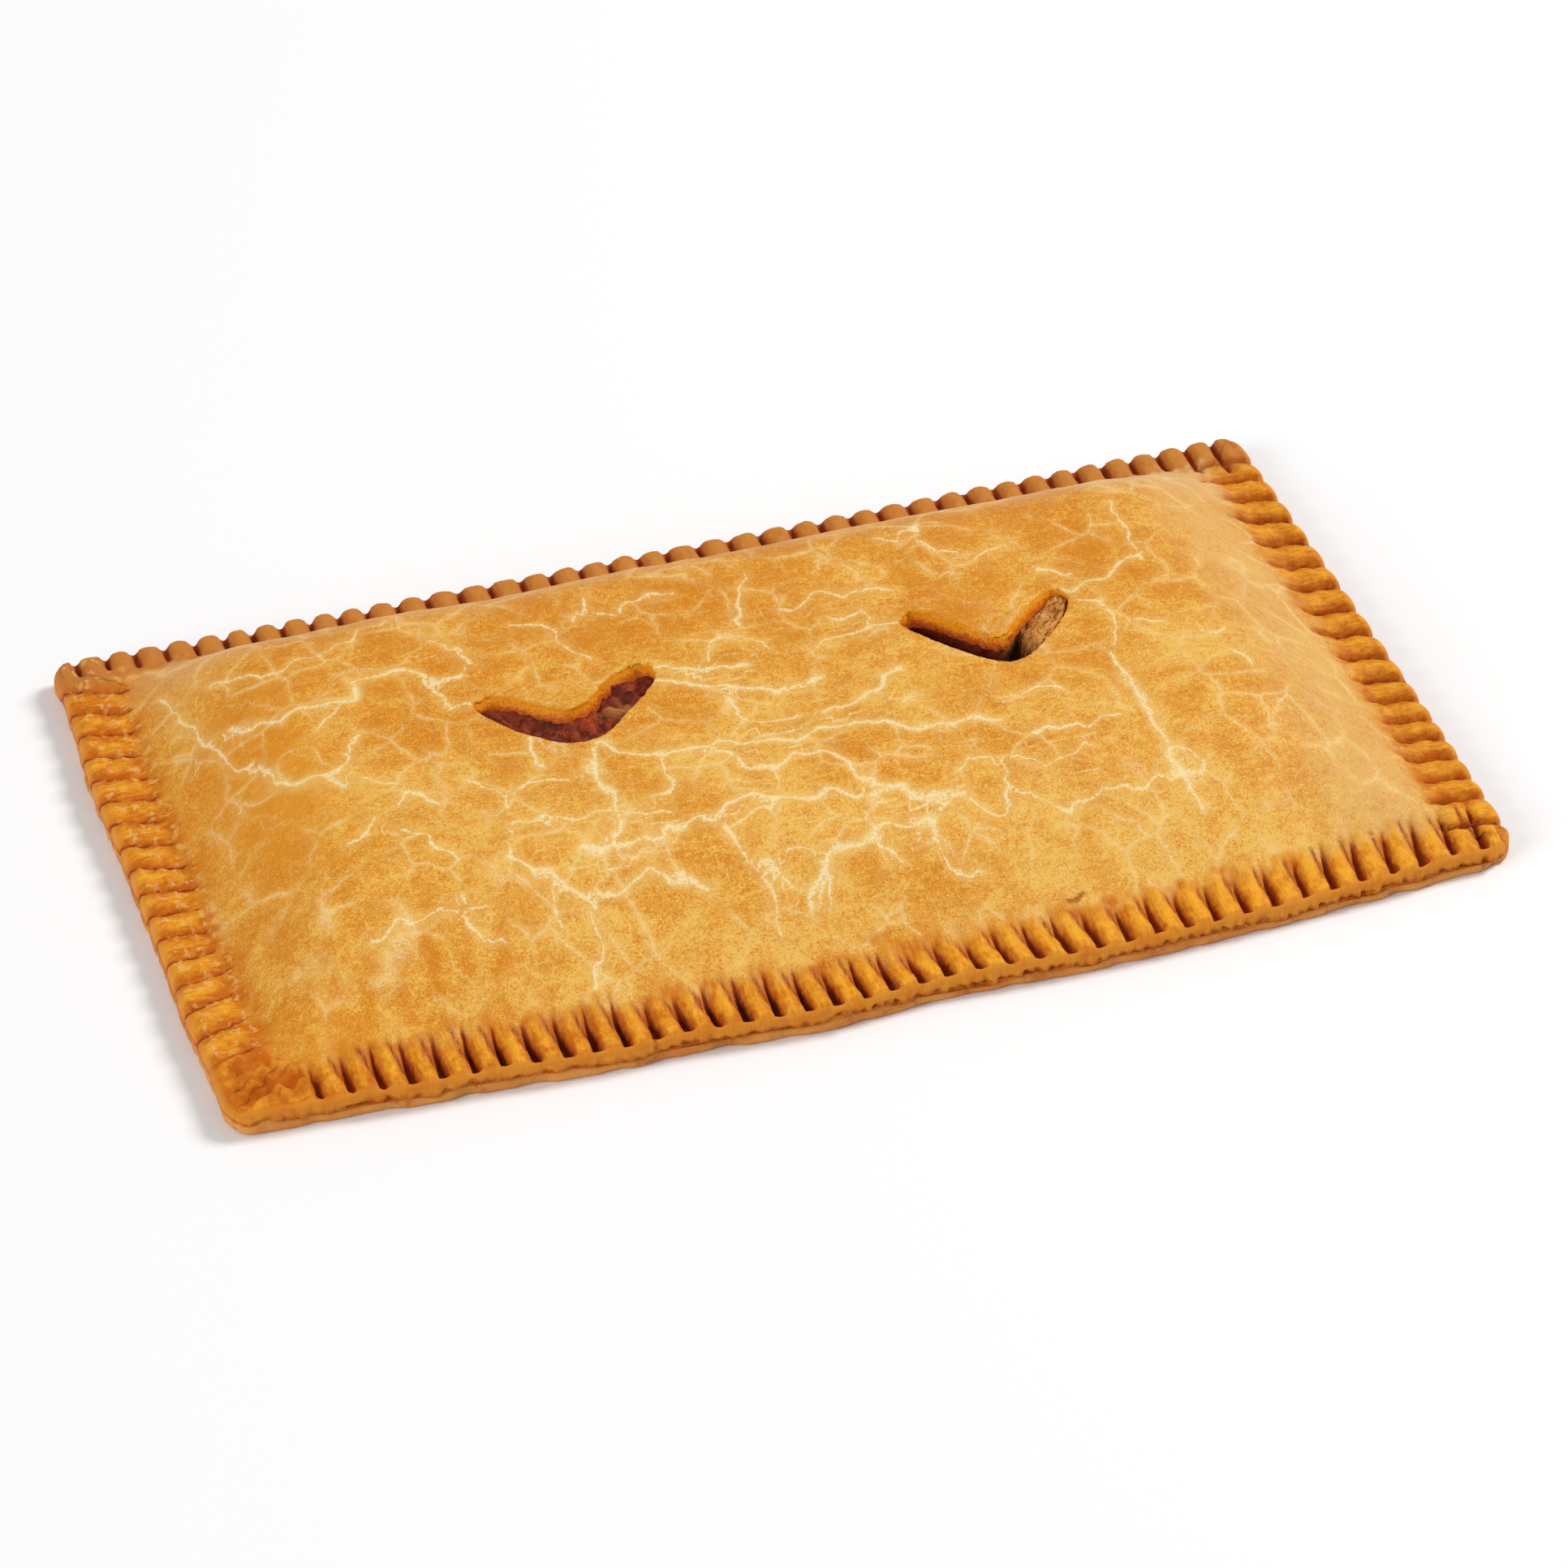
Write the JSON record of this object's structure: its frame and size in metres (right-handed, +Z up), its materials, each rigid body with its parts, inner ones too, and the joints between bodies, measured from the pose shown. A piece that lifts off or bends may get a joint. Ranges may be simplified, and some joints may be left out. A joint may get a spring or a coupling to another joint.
{
  "type": "tuna empanada",
  "caption": "Rectangular baked tuna empanada with crimped edges, a cracked golden glaze and V-shaped steam vents that show the filling.",
  "frame": {"origin": "middle of the bounding box on the flat underside, the plane the empanada rests on", "axes": "+X along the long side, +Y from the front edge to the back edge, +Z up through the vented lid"},
  "size_m": [0.303, 0.179, 0.0286],
  "materials": {
    "baked_lid": "egg-glazed golden pastry, satin",
    "baked_base": "unglazed baked pastry, matte",
    "tuna_filling": "moist tuna and tomato filling"
  },
  "bodies": {
    "root": {"top_crust": "baked_lid", "bottom_crust": "baked_base", "filling": "tuna_filling"}
  },
  "joints": []
}
